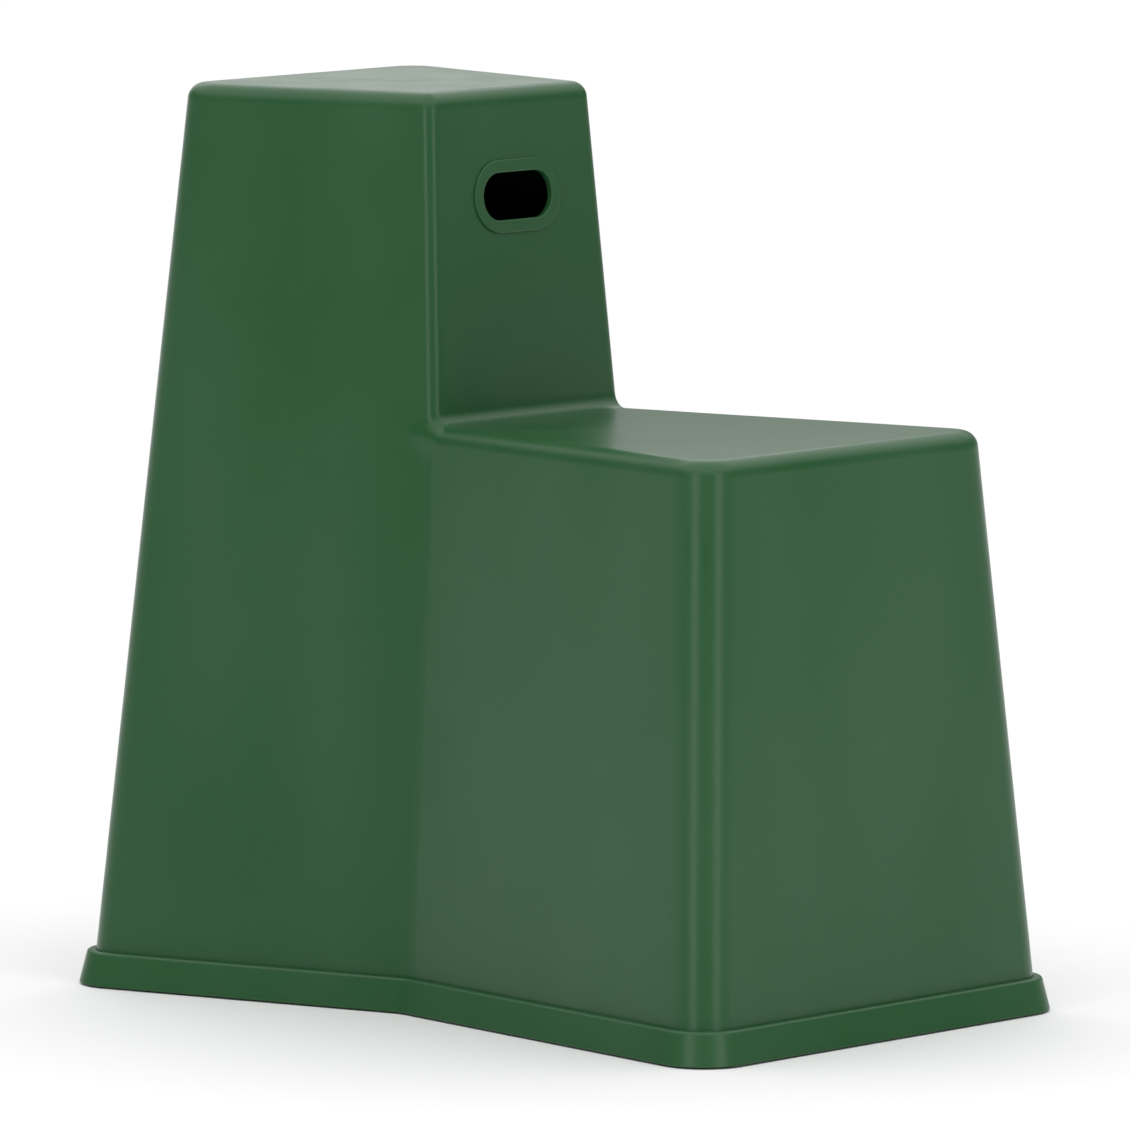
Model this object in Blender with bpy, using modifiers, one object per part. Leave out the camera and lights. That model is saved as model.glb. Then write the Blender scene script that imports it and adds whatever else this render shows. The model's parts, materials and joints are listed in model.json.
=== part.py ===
"""Two-level mounting block: a tall rear tower and a low front step, moulded as one open-bottomed shell
that sits in a separate base rim. The hand slot in the riser is lined by a pressed-in collar.

Frame: metres, +Z up, origin on the floor at the centre of the footprint. +X points from the tower to
the step, and the block is symmetric about the XZ plane.
"""

import math

import bmesh
import bpy
from mathutils import Matrix, Vector

# Overall sizes. Half widths are those of the wall planes, continued down to the floor.
LENGTH = 0.739
TOTAL_HEIGHT = 0.770
STEP_HEIGHT = 0.492
RISER_X = -0.036
END_HALF_WIDTH = 0.2255
TOWER_WAIST_HALF_WIDTH = 0.1543
STEP_WAIST_HALF_WIDTH = 0.1533

# Drafts: how far each wall leans in for each metre of height.
TOWER_SIDE_DRAFT = 0.077
STEP_SIDE_DRAFT = 0.071
RISER_DRAFT = 0.073
FRONT_DRAFT = 0.069
REAR_DRAFT = 0.066

# Shell wall and roundings.
WALL = 0.0045
END_CORNER_RADIUS = 0.030
RISER_CORNER_RADIUS = 0.012
TREAD_EDGE_RADIUS = 0.014
STEP_OVERLAP = 0.090

# Stiffening ribs under the two treads.
RIB_THICKNESS = 0.003
RIB_DEPTH = 0.028
LONG_RIB_SPACING = 0.090
CROSS_RIB_PITCH = 0.060

# Base rim.
RIM_HEIGHT = 0.030
RIM_LEDGE = 0.008
RIM_SPREAD = 0.0115
RIM_EDGE_RADIUS = 0.003
RIM_SHELF = 0.0065
RIM_SHELF_INSET = 0.014
FIT_GAP = 0.0003

# Foot pads and the screws that hold the rim.
PAD_LENGTH = 0.044
PAD_WIDTH = 0.013
PAD_THICKNESS = 0.004
PAD_PROUD = 0.0015
PAD_SETBACK = 0.062
PAD_INSET = 0.0035
SCREW_SETBACK = 0.115
SCREW_SPACING = 0.200
SCREW_INSET = 0.0105
SCREW_SHANK_RADIUS = 0.002
SCREW_SHANK_LENGTH = 0.022
SCREW_HEAD_RADIUS = 0.0046
SCREW_HEAD_HEIGHT = 0.0026
SCREW_HEAD_SUNK = 0.0006
SCREW_RECESS_LENGTH = 0.0055
SCREW_RECESS_WIDTH = 0.0011
SCREW_RECESS_DEPTH = 0.0013
BOSS_RADIUS = 0.0068
BOSS_HEIGHT = 0.034

# Hand slot and its collar.
GRIP_HEIGHT_ABOVE_STEP = 0.187
GRIP_WIDTH = 0.085
GRIP_OPENING = 0.040
COLLAR_BORDER = 0.011
COLLAR_PROUD = 0.002
COLLAR_EDGE_CHAMFER = 0.0012
COLLAR_LIP_CHAMFER = 0.0015
COLLAR_SLEEVE_WALL = 0.0022
COLLAR_SLEEVE_DEPTH = 0.0032
COLLAR_SLEEVE_CHAMFER = 0.0008

PLASTIC_GREEN = (0.041, 0.107, 0.048, 1.0)
RUBBER_BLACK = (0.02, 0.02, 0.02, 1.0)
ZINC = (0.62, 0.63, 0.64, 1.0)

RIM_BOTTOM = PAD_PROUD
SHELL_FOOT = RIM_BOTTOM + RIM_SHELF + FIT_GAP
FRONT_X = LENGTH / 2 - RIM_SPREAD + FRONT_DRAFT * RIM_BOTTOM
REAR_X = -LENGTH / 2 + RIM_SPREAD - REAR_DRAFT * RIM_BOTTOM

# Mesh resolution, and how far a cutter reaches past what it cuts.
ARC_STEPS = 6
RIM_ARC_STEPS = 3
HEAD_SEGMENTS = 16
SHANK_SEGMENTS = 10
SMALLEST_ARC = 0.0004
SHARP_ANGLE = 28
CUT_MARGIN = 0.02


# Walls as lines in plan: (outward normal, distance from the origin) at one height, moved out by `offset`.

def side_line(side, end_x, waist_half_width, draft, z, offset):
    run = RISER_X - end_x
    slope = (END_HALF_WIDTH - waist_half_width) / run
    length = math.hypot(slope, 1.0)
    reach = waist_half_width + slope * RISER_X - draft * z
    return Vector((slope / length, side / length)), reach / length + offset


def tower_side(side, z, offset):
    return side_line(side, REAR_X, TOWER_WAIST_HALF_WIDTH, TOWER_SIDE_DRAFT, z, offset)


def step_side(side, z, offset):
    return side_line(side, FRONT_X, STEP_WAIST_HALF_WIDTH, STEP_SIDE_DRAFT, z, offset)


def rear_line(z, offset):
    return Vector((-1.0, 0.0)), -REAR_X - REAR_DRAFT * z + offset


def front_line(z, offset):
    return Vector((1.0, 0.0)), FRONT_X - FRONT_DRAFT * z + offset


def riser_line(z, offset):
    return Vector((1.0, 0.0)), RISER_X - RISER_DRAFT * (z - STEP_HEIGHT) + offset


def step_back_line(z, offset):
    return Vector((-1.0, 0.0)), STEP_OVERLAP - RISER_X + offset


def crossing(line_a, line_b):
    (na, da), (nb, db) = line_a, line_b
    det = na.x * nb.y - na.y * nb.x
    return Vector(((da * nb.y - db * na.y) / det, (na.x * db - nb.x * da) / det))


# Plans: each is a list of (line, corner radius where it meets the next line), counter-clockwise.

def tower_plan(z, offset):
    return [
        (rear_line(z, offset), END_CORNER_RADIUS),
        (tower_side(-1, z, offset), RISER_CORNER_RADIUS),
        (riser_line(z, offset), RISER_CORNER_RADIUS),
        (tower_side(1, z, offset), END_CORNER_RADIUS),
    ]


def step_plan(z, offset):
    return [
        (step_back_line(z, offset), 0.0),
        (step_side(-1, z, offset), END_CORNER_RADIUS),
        (front_line(z, offset), END_CORNER_RADIUS),
        (step_side(1, z, offset), 0.0),
    ]


def foot_plan(z, offset):
    return [
        (rear_line(z, offset), END_CORNER_RADIUS),
        (tower_side(-1, z, offset), 0.0),
        (step_side(-1, z, offset), END_CORNER_RADIUS),
        (front_line(z, offset), END_CORNER_RADIUS),
        (step_side(1, z, offset), 0.0),
        (tower_side(1, z, offset), END_CORNER_RADIUS),
    ]


def rounded_outline(plan, offset):
    """Plan points with each corner replaced by an arc, whose radius grows with the offset."""
    points = []
    for index, (line, radius) in enumerate(plan):
        following = plan[(index + 1) % len(plan)][0]
        if radius == 0.0:
            points.append(crossing(line, following))
            continue
        arc = max(radius + offset, SMALLEST_ARC)
        centre = crossing((line[0], line[1] - arc), (following[0], following[1] - arc))
        start = math.atan2(line[0].y, line[0].x)
        turn = (math.atan2(following[0].y, following[0].x) - start) % (2 * math.pi)
        for step in range(ARC_STEPS + 1):
            angle = start + turn * step / ARC_STEPS
            points.append(centre + arc * Vector((math.cos(angle), math.sin(angle))))
    return points


def skin(name, rings):
    """A closed solid through rings of equal point count, listed from the bottom up."""
    mesh = bpy.data.meshes.new(name)
    bm = bmesh.new()
    loops = [[bm.verts.new(point) for point in ring] for ring in rings]
    for lower, upper in zip(loops, loops[1:]):
        for i in range(len(lower)):
            j = (i + 1) % len(lower)
            bm.faces.new((lower[i], lower[j], upper[j], upper[i]))
    bm.faces.new(reversed(loops[0]))
    bm.faces.new(loops[-1])
    bm.to_mesh(mesh)
    bm.free()
    return bpy.data.objects.new(name, mesh)


def ring_at(plan, z, offset):
    return [Vector((p.x, p.y, z)) for p in rounded_outline(plan(z, offset), offset)]


def drafted_block(name, plan, bottom, top, offset=0.0, edge_radius=0.0):
    """A block between two heights that follows the drafted walls, with a rounded top edge."""
    rings = [ring_at(plan, bottom, offset)]
    if edge_radius == 0.0:
        rings.append(ring_at(plan, top, offset))
        return skin(name, rings)
    for step in range(ARC_STEPS + 1):
        angle = math.pi / 2 * step / ARC_STEPS
        z = top - edge_radius * (1 - math.sin(angle))
        rings.append(ring_at(plan, z, offset - edge_radius * (1 - math.cos(angle))))
    return skin(name, rings)


# Scene helpers.

def clear_scene():
    for obj in list(bpy.data.objects):
        bpy.data.objects.remove(obj, do_unlink=True)


def new_collection(name):
    collection = bpy.data.collections.new(name)
    bpy.context.scene.collection.children.link(collection)
    return collection


def plain_material(name, colour, roughness, metallic):
    material = bpy.data.materials.new(name)
    material.use_nodes = True
    shader = material.node_tree.nodes["Principled BSDF"]
    shader.inputs["Base Color"].default_value = colour
    shader.inputs["Roughness"].default_value = roughness
    shader.inputs["Metallic"].default_value = metallic
    return material


def add_part(obj, material):
    PARTS.objects.link(obj)
    obj.data.materials.clear()
    obj.data.materials.append(material)
    obj.data.shade_smooth()
    obj.data.set_sharp_from_angle(angle=math.radians(SHARP_ANGLE))
    return obj


def add_cutter(obj):
    CUTTERS.objects.link(obj)
    obj.hide_render = True
    obj.display_type = "WIRE"
    return obj


def boolean(target, operand, operation):
    modifier = target.modifiers.new(f"{operation.lower()} {operand.name}", "BOOLEAN")
    modifier.object = operand
    modifier.operation = operation


def mesh_object(name, bm):
    mesh = bpy.data.meshes.new(name)
    bm.to_mesh(mesh)
    bm.free()
    return bpy.data.objects.new(name, mesh)


def cylinder(name, radius, bottom, top, segments=HEAD_SEGMENTS):
    bm = bmesh.new()
    place = Matrix.Translation((0, 0, (bottom + top) / 2))
    bmesh.ops.create_cone(
        bm, cap_ends=True, segments=segments, radius1=radius, radius2=radius,
        depth=top - bottom, matrix=place,
    )
    return mesh_object(name, bm)


def box(name, low, high):
    bm = bmesh.new()
    size = Vector(high) - Vector(low)
    place = Matrix.Translation((Vector(low) + Vector(high)) / 2) @ Matrix.Diagonal((*size, 1.0))
    bmesh.ops.create_cube(bm, size=1.0, matrix=place)
    return mesh_object(name, bm)


def stadium_ring(width, height, z, grow=0.0):
    """Points of an oblong with round ends, in the XY plane at z, grown by `grow` all round."""
    radius = height / 2 + grow
    reach = (width - height) / 2
    points = []
    for side in (1, -1):
        for step in range(2 * ARC_STEPS + 1):
            angle = math.pi * (step / (2 * ARC_STEPS) - 0.5)
            x = side * (reach + radius * math.cos(angle))
            points.append(Vector((x, side * radius * math.sin(angle), z)))
    return points


def stadium(name, width, height, levels):
    """A solid through oblong sections, each level being (z, growth), from the bottom up."""
    return skin(name, [stadium_ring(width, height, z, grow) for z, grow in levels])


# Places along the foot walls.

def wall_runs():
    """(start corner, end corner, outward normal) of each foot wall at floor level."""
    lines = [line for line, _ in foot_plan(0.0, 0.0)]
    corners = [crossing(lines[i - 1], line) for i, line in enumerate(lines)]
    runs = []
    for i, line in enumerate(lines):
        runs.append((corners[i], corners[(i + 1) % len(lines)], line[0]))
    return runs


def is_side(normal):
    return abs(normal.y) > abs(normal.x)


def side_spots(setback, inset):
    """Places at a setback from both ends of the four long walls, as (position, wall angle)."""
    spots = []
    for start, end, normal in wall_runs():
        if not is_side(normal):
            continue
        along = (end - start).normalized()
        for place in (start + along * setback, end - along * setback):
            spots.append((place - normal * inset, math.atan2(along.y, along.x)))
    return spots


def end_spots(spacing, inset):
    """Two places on the rear wall and two on the front wall."""
    spots = []
    for start, end, normal in wall_runs():
        if is_side(normal):
            continue
        middle = (start + end) / 2
        along = (end - start).normalized()
        for side in (-1, 1):
            place = middle + along * side * spacing / 2 - normal * inset
            spots.append((place, math.atan2(along.y, along.x)))
    return spots


def screw_spots():
    return side_spots(SCREW_SETBACK, SCREW_INSET) + end_spots(SCREW_SPACING, SCREW_INSET)


def numbered(name, index):
    return f"{name}_{index + 1:02d}"


def place_flat(obj, spot):
    position, angle = spot
    obj.location = (position.x, position.y, 0.0)
    obj.rotation_euler = (0.0, 0.0, angle)
    return obj


# Grip datum: local X across the block, local Y up the riser, local Z out of it.

def grip_datum():
    datum = bpy.data.objects.new("grip_datum", None)
    height = STEP_HEIGHT + GRIP_HEIGHT_ABOVE_STEP
    normal = Vector((1.0, 0.0, RISER_DRAFT)).normalized()
    across = Vector((0.0, 1.0, 0.0))
    up = normal.cross(across)
    turn = Matrix((across, up, normal)).transposed().to_4x4()
    datum.matrix_world = Matrix.Translation((riser_line(height, 0.0)[1], 0.0, height)) @ turn
    PARTS.objects.link(datum)
    return datum


# Sub-parts.

def rib_boxes(prefix, low_x, high_x, tread):
    """Two webs along the block and evenly spaced ones across it, all wider than the walls they meet."""
    bottom = tread - WALL - RIB_DEPTH
    top = tread - WALL / 2
    half = RIB_THICKNESS / 2
    ribs = []
    for name, y in (("left", LONG_RIB_SPACING / 2), ("right", -LONG_RIB_SPACING / 2)):
        ribs.append(box(f"{prefix}_{name}", (low_x, y - half, bottom), (high_x, y + half, top)))
    count = math.ceil((high_x - low_x) / CROSS_RIB_PITCH)
    for index in range(1, count):
        x = low_x + (high_x - low_x) * index / count
        low = (x - half, -END_HALF_WIDTH, bottom)
        ribs.append(box(f"{prefix}_cross_{index}", low, (x + half, END_HALF_WIDTH, top)))
    return ribs


def make_shell(material, datum):
    shell = drafted_block("body_shell", tower_plan, SHELL_FOOT, TOTAL_HEIGHT, 0.0, TREAD_EDGE_RADIUS)
    add_part(shell, material)
    step = drafted_block("step_block", step_plan, SHELL_FOOT, STEP_HEIGHT, 0.0, TREAD_EDGE_RADIUS)
    boolean(shell, add_cutter(step), "UNION")

    inner_edge = TREAD_EDGE_RADIUS - WALL
    below = SHELL_FOOT - CUT_MARGIN
    tower_core = drafted_block("tower_core", tower_plan, below, TOTAL_HEIGHT - WALL, -WALL, inner_edge)
    step_core = drafted_block("step_core", step_plan, below, STEP_HEIGHT - WALL, -WALL, inner_edge)
    boolean(shell, add_cutter(tower_core), "DIFFERENCE")
    boolean(shell, add_cutter(step_core), "DIFFERENCE")

    add_ribs(shell)
    add_bosses(shell)
    hole_grow = COLLAR_SLEEVE_WALL + FIT_GAP
    levels = ((-CUT_MARGIN, hole_grow), (CUT_MARGIN, hole_grow))
    hole = stadium("grip_hole", GRIP_WIDTH, GRIP_OPENING, levels)
    hole.parent = datum
    boolean(shell, add_cutter(hole), "DIFFERENCE")
    return shell


def add_ribs(shell):
    """Webs under both treads, trimmed to half way into the walls."""
    half_wall = WALL / 2
    tower_back = REAR_X + REAR_DRAFT * TOTAL_HEIGHT
    tower_front = riser_line(TOTAL_HEIGHT, 0.0)[1]
    step_back = RISER_X - half_wall
    step_front = front_line(STEP_HEIGHT, 0.0)[1]
    treads = (
        ("tower_rib", tower_plan, tower_back, tower_front, STEP_HEIGHT, TOTAL_HEIGHT),
        ("step_rib", step_plan, step_back, step_front, SHELL_FOOT, STEP_HEIGHT),
    )
    for name, plan, back, front, bottom, tread in treads:
        trim = drafted_block(f"{name}_trim", plan, bottom, tread, -half_wall, TREAD_EDGE_RADIUS)
        add_cutter(trim)
        for rib in rib_boxes(name, back, front, tread):
            add_cutter(rib)
            boolean(rib, trim, "INTERSECT")
            boolean(shell, rib, "UNION")


def add_bosses(shell):
    """Screw bosses on the inside of the foot, each with a pilot hole."""
    boss_top = SHELL_FOOT + BOSS_HEIGHT
    for index, spot in enumerate(screw_spots()):
        boss = cylinder(numbered("boss", index), BOSS_RADIUS, SHELL_FOOT, boss_top)
        boolean(shell, add_cutter(place_flat(boss, spot)), "UNION")
    radius = SCREW_SHANK_RADIUS + FIT_GAP
    for index, spot in enumerate(screw_spots()):
        pilot = cylinder(numbered("pilot", index), radius, SHELL_FOOT - CUT_MARGIN, boss_top - WALL)
        boolean(shell, add_cutter(place_flat(pilot, spot)), "DIFFERENCE")


def make_rim(material):
    """The skirt ring: an upright band outside the walls and a shelf under them."""
    rings = [ring_at(foot_plan, RIM_BOTTOM, RIM_SPREAD)]
    for step in range(RIM_ARC_STEPS + 1):
        angle = math.pi / 2 * step / RIM_ARC_STEPS
        z = RIM_HEIGHT - RIM_EDGE_RADIUS * (1 - math.sin(angle))
        rings.append(ring_at(foot_plan, z, RIM_LEDGE - RIM_EDGE_RADIUS * (1 - math.cos(angle))))
    rim = add_part(skin("base_rim", rings), material)
    above = RIM_HEIGHT + CUT_MARGIN
    below = RIM_BOTTOM - CUT_MARGIN
    channel = drafted_block("rim_channel", foot_plan, RIM_BOTTOM + RIM_SHELF, above, FIT_GAP)
    boolean(rim, add_cutter(channel), "DIFFERENCE")
    opening = drafted_block("rim_opening", foot_plan, below, above, -WALL - RIM_SHELF_INSET)
    boolean(rim, add_cutter(opening), "DIFFERENCE")
    cut_pad_pockets(rim)
    cut_screw_holes(rim, below, above)
    return rim


def cut_pad_pockets(rim):
    levels = ((-CUT_MARGIN, FIT_GAP), (PAD_THICKNESS + FIT_GAP, FIT_GAP))
    for index, spot in enumerate(side_spots(PAD_SETBACK, PAD_INSET)):
        pocket = stadium(numbered("pad_pocket", index), PAD_LENGTH, PAD_WIDTH, levels)
        boolean(rim, add_cutter(place_flat(pocket, spot)), "DIFFERENCE")


def cut_screw_holes(rim, below, above):
    """A hole for each shank and a counterbore that sinks each head."""
    head = (SCREW_HEAD_RADIUS + FIT_GAP, RIM_BOTTOM + SCREW_HEAD_SUNK + SCREW_HEAD_HEIGHT + FIT_GAP)
    shank = (SCREW_SHANK_RADIUS + FIT_GAP, above)
    for index, spot in enumerate(screw_spots()):
        for name, (radius, top) in (("counterbore", head), ("rim_screw_hole", shank)):
            hole = cylinder(numbered(name, index), radius, below, top)
            boolean(rim, add_cutter(place_flat(hole, spot)), "DIFFERENCE")


def make_pads(material):
    """Soft anti-slip pads in pockets under the rim."""
    for index, spot in enumerate(side_spots(PAD_SETBACK, PAD_INSET)):
        chamfer = PAD_PROUD / 2
        levels = ((0.0, -chamfer), (chamfer, 0.0), (PAD_THICKNESS, 0.0))
        pad = stadium(numbered("foot_pad", index), PAD_LENGTH, PAD_WIDTH, levels)
        add_part(place_flat(pad, spot), material)


def screw_mesh():
    """Pan-head screw pointing up, with a cross recess in its head, its head's underside at local z = 0."""
    screw = cylinder("screw_blank", SCREW_HEAD_RADIUS, -SCREW_HEAD_HEIGHT, 0.0)
    bevel = screw.modifiers.new("head edge", "BEVEL")
    bevel.width = SCREW_HEAD_HEIGHT / 4
    bevel.segments = 1
    bevel.limit_method = "ANGLE"
    inside_head = -SCREW_HEAD_HEIGHT / 2
    shank = cylinder("screw_shank", SCREW_SHANK_RADIUS, inside_head, SCREW_SHANK_LENGTH, SHANK_SEGMENTS)
    boolean(screw, add_cutter(shank), "UNION")
    reach = SCREW_RECESS_LENGTH / 2
    half = SCREW_RECESS_WIDTH / 2
    for name, x, y in (("recess_long", reach, half), ("recess_cross", half, reach)):
        low = (-x, -y, -SCREW_HEAD_HEIGHT - CUT_MARGIN)
        recess = box(name, low, (x, y, -SCREW_HEAD_HEIGHT + SCREW_RECESS_DEPTH))
        boolean(screw, add_cutter(recess), "DIFFERENCE")
    add_cutter(screw)
    bpy.context.view_layer.update()
    graph = bpy.context.evaluated_depsgraph_get()
    mesh = bpy.data.meshes.new_from_object(screw.evaluated_get(graph))
    mesh.name = "rim_screw"
    return mesh


def make_screws(material):
    mesh = screw_mesh()
    head_seat = RIM_BOTTOM + SCREW_HEAD_SUNK + SCREW_HEAD_HEIGHT
    for index, spot in enumerate(screw_spots()):
        screw = place_flat(bpy.data.objects.new(numbered("rim_screw", index), mesh), spot)
        screw.location.z = head_seat
        add_part(screw, material)


def make_collar(material, datum):
    """Oblong lining of the hand slot: a raised border and a short sleeve pressed into the wall."""
    sleeve = COLLAR_SLEEVE_WALL
    edge = COLLAR_EDGE_CHAMFER
    levels = [
        (-COLLAR_SLEEVE_DEPTH, sleeve - COLLAR_SLEEVE_CHAMFER),
        (COLLAR_SLEEVE_CHAMFER - COLLAR_SLEEVE_DEPTH, sleeve),
        (FIT_GAP, sleeve),
        (FIT_GAP, COLLAR_BORDER),
        (COLLAR_PROUD - edge, COLLAR_BORDER),
        (COLLAR_PROUD - edge / 3, COLLAR_BORDER - edge / 3),
        (COLLAR_PROUD, COLLAR_BORDER - edge),
    ]
    collar = stadium("grip_collar", GRIP_WIDTH, GRIP_OPENING, levels)
    collar.parent = datum
    add_part(collar, material)
    lip = COLLAR_LIP_CHAMFER
    bore_levels = [
        (-COLLAR_SLEEVE_DEPTH - CUT_MARGIN, 0.0),
        (COLLAR_PROUD - lip, 0.0),
        (COLLAR_PROUD - lip / 3, lip / 3),
        (COLLAR_PROUD, lip),
        (COLLAR_PROUD + CUT_MARGIN, lip),
    ]
    bore = stadium("grip_bore", GRIP_WIDTH, GRIP_OPENING, bore_levels)
    bore.parent = datum
    boolean(collar, add_cutter(bore), "DIFFERENCE")
    return collar


clear_scene()
PARTS = new_collection("mounting_block")
CUTTERS = new_collection("cutters")
green = plain_material("green_plastic", PLASTIC_GREEN, 0.45, 0.0)
rubber = plain_material("black_rubber", RUBBER_BLACK, 0.8, 0.0)
zinc = plain_material("zinc_plated_steel", ZINC, 0.35, 1.0)
grip = grip_datum()
make_shell(green, grip)
make_rim(green)
make_collar(green, grip)
make_pads(rubber)
make_screws(zinc)
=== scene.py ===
import json
import math

import bmesh
import bpy
import numpy as np
from mathutils import Matrix, Vector


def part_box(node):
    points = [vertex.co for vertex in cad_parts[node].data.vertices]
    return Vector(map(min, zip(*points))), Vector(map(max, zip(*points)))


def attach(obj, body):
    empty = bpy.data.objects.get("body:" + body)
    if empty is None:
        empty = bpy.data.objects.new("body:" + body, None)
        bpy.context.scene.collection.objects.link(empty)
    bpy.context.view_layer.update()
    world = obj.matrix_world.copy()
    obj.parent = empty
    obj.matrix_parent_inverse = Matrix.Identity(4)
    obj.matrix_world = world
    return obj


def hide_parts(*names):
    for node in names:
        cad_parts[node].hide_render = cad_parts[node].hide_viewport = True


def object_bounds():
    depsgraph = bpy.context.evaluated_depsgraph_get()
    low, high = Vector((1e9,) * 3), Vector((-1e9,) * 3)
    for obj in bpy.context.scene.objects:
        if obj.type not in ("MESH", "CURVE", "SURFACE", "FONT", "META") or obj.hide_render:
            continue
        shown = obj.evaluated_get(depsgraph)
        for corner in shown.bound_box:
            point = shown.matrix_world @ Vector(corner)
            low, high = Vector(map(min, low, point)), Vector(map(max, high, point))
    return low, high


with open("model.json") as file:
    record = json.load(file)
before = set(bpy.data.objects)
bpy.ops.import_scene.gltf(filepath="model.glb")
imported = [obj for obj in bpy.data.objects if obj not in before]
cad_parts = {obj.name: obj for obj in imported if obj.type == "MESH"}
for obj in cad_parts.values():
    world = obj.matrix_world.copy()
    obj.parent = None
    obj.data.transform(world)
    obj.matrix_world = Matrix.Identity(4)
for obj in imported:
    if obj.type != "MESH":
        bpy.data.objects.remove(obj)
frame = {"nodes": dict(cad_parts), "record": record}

# The looks of a two-level mounting block. Sizes are in metres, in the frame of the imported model:
# +X from the tower to the step, +Z up.
CAD_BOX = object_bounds()
MOUNTS = {mount["name"]: Vector(mount["pos_m"]) for mount in frame["record"]["mounts"]}
TOTAL_HEIGHT = CAD_BOX[1][2]
STEP_HEIGHT = MOUNTS["step_tread"].z
LENGTH = CAD_BOX[1][0] - CAD_BOX[0][0]
SHELL_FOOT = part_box("body_shell")[0][2]
RIM_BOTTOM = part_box("base_rim")[0][2]
RIM_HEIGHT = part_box("base_rim")[1][2]

# Walls of the shell: the riser's foot, half widths at floor level, and drafts as run for each unit of rise.
RISER_X = -0.036
END_HALF_WIDTH = 0.2255
TOWER_WAIST_HALF_WIDTH = 0.1543
STEP_WAIST_HALF_WIDTH = 0.1533
TOWER_SIDE_DRAFT = 0.077
STEP_SIDE_DRAFT = 0.071
RISER_DRAFT = 0.073
FRONT_DRAFT = 0.069
REAR_DRAFT = 0.066
WALL = 0.0045
FIT_GAP = 0.0003
STEP_RUN_BACK = 0.090  # how far the step's own field runs back into the tower

# Base rim, and what follows from it for the shell's end walls and the slopes of its sides in plan.
RIM_SPREAD = 0.0115
RIM_LEDGE = 0.008
RIM_SHELF = 0.0065
RIM_SHELF_INSET = 0.014
RIM_EDGE_RADIUS = 0.003
RIM_FOOT_RADIUS = 0.001
SCREW_SEAT = RIM_SHELF / 2
FRONT_X = LENGTH / 2 - RIM_SPREAD + FRONT_DRAFT * RIM_BOTTOM
REAR_X = -LENGTH / 2 + RIM_SPREAD - REAR_DRAFT * RIM_BOTTOM
TOWER_SLOPE = (END_HALF_WIDTH - TOWER_WAIST_HALF_WIDTH) / (RISER_X - REAR_X)
STEP_SLOPE = (END_HALF_WIDTH - STEP_WAIST_HALF_WIDTH) / (RISER_X - FRONT_X)

# Roundings. The waist is so open a corner that its blend distance is much less than its radius.
END_CORNER_RADIUS = 0.030
RISER_CORNER_RADIUS = 0.012
TREAD_EDGE_RADIUS = 0.014
WAIST_BLEND = 0.003
RISER_FOOT_RADIUS = 0.012
BLEND_CHANGE_HEIGHT = 0.030
WAIST_CREASE_RADIUS = 0.036

# Inside of the shell.
RIB_THICKNESS = 0.003
RIB_DEPTH = 0.028
LONG_RIB_SPACING = 0.090
CROSS_RIB_PITCH = 0.060
BOSS_RADIUS = 0.0068
BOSS_HEIGHT = 0.034
PILOT_RADIUS = 0.0023

# Hand slot and its collar.
GRIP_HEIGHT_ABOVE_STEP = 0.187
GRIP_WIDTH = 0.085
GRIP_OPENING = 0.040
COLLAR_BORDER = 0.011
COLLAR_PROUD = 0.002
COLLAR_EDGE_RADIUS = 0.0012
COLLAR_LIP_RADIUS = 0.0015
COLLAR_SLEEVE_WALL = 0.0022
COLLAR_SLEEVE_DEPTH = 0.0032
COLLAR_SLEEVE_CHAMFER = 0.0008

# Meshing. The shell's mesh has fine steps by each edge and a coarser pitch on the flats.
EDGE_STEPS = (0.0, 0.002, 0.0045, 0.0075, 0.011, 0.015, 0.020, 0.026, 0.034, 0.046)
PITCH = 0.022
ARC_STEPS = 12
ROUND_SIDES = 24
CUT_MARGIN = 0.02
SLOPE_REACH = 1e-6
LEAST_SLOPE = 1e-9
SETTLE_STEPS = 12
SKIN_TOLERANCE = WALL / 20
SKIN_FACING = 0.8  # cosine from a face's normal to the field's, under which the corner keeps the face's
SHARP_ANGLE = 35.0

# Colours and finishes, and the range that most of a noise lies in.
GREEN = (0.0165, 0.080, 0.025, 1.0)
PALE_GREEN = (0.055, 0.125, 0.066, 1.0)
RUBBER_BLACK = (0.012, 0.012, 0.013, 1.0)
RUBBER_DUST = (0.045, 0.043, 0.040, 1.0)
ZINC_BRIGHT = (0.60, 0.61, 0.62, 1.0)
ZINC_DULL = (0.44, 0.45, 0.47, 1.0)
SHELL_ROUGHNESS = 0.30
TRIM_ROUGHNESS = 0.34
NOISE_LOW = 0.30
NOISE_HIGH = 0.70

# Moulded plastic: sizes, depths and heights in metres, and plain factors.
PLASTIC_SPECULAR = 0.32
GRAIN_SIZE = 0.0011
GRAIN_DEPTH = 0.000035
SKIN_WAVE_SIZE = 0.045
SKIN_WAVE_DEPTH = 0.00008
GLOSS_PATCH_SIZE = 0.05
GLOSS_CHANGE = 0.025
FLOW_MARK_SIZE = 0.16
FLOW_MARK_STRETCH = (1.0, 1.0, 0.35)
FLOW_MARK_TINT = 0.22
SCRATCH_SIZE = 0.012
SCRATCH_STRETCH = (1.0, 7.0, 3.0)
SCUFF_PATCH_SIZE = 0.035
SCUFF_TINT = 0.55
SCUFF_ROUGHNESS = 0.15
FLOOR_SCUFF_HEIGHT = 0.12
FLOOR_SCUFF_SHARE = 0.6

# Camera and floor.
CAMERA_AZIMUTH = 41.94
CAMERA_ELEVATION = 6.527
CAMERA_PLACE = (6.797, -7.559, 1.5315)
CAMERA_LENS = 385.94
SENSOR_WIDTH = 36.0
FLOOR_HALF_SIZE = 60.0
FLOOR_TONE = 0.84
FLOOR_ROUGHNESS = 0.9

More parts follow.
